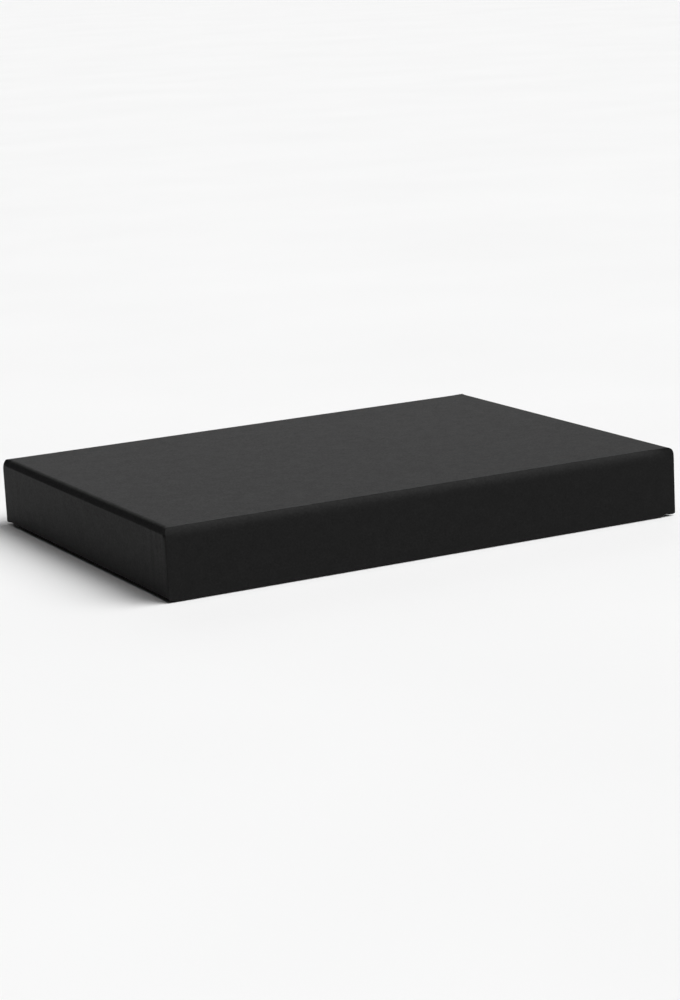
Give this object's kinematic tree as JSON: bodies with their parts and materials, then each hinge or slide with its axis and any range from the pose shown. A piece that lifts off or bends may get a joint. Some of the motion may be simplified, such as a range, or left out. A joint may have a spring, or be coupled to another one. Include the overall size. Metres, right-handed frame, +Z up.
{
  "type": "board game box",
  "caption": "Flat rigid game box: paper-wrapped greyboard base tray with a folded card insert and a full-depth lid that lifts straight off.",
  "frame": {"origin": "centre of the closed box on the ground, under the base", "axes": "+X along the long side, +Y along the short side towards the back, +Z up, the way the lid lifts"},
  "size_m": [0.305, 0.229, 0.0382],
  "materials": {
    "wrap_paper": "matte soft-touch black covering paper with a very fine grain",
    "greyboard": "matte raw solid greyboard",
    "stay_tape": "matte brown kraft paper tape",
    "liner_paper": "matte uncoated white paper",
    "insert_card": "matte white-faced folding card"
  },
  "bodies": {
    "base": {"base_board": "greyboard", "base_stay_front_left": "stay_tape", "base_stay_front_right": "stay_tape", "base_stay_back_left": "stay_tape", "base_stay_back_right": "stay_tape", "base_wrap": "wrap_paper", "base_liner": "liner_paper", "insert": "insert_card"},
    "lid": {"lid_board": "greyboard", "lid_stay_front_left": "stay_tape", "lid_stay_front_right": "stay_tape", "lid_stay_back_left": "stay_tape", "lid_stay_back_right": "stay_tape", "lid_wrap": "wrap_paper", "lid_liner": "liner_paper"}
  },
  "joints": [
    {"name": "lid_lift", "type": "slide", "parent": "base", "child": "lid", "axis": [0, 0, 1], "range_m": [0, 0.09]}
  ]
}
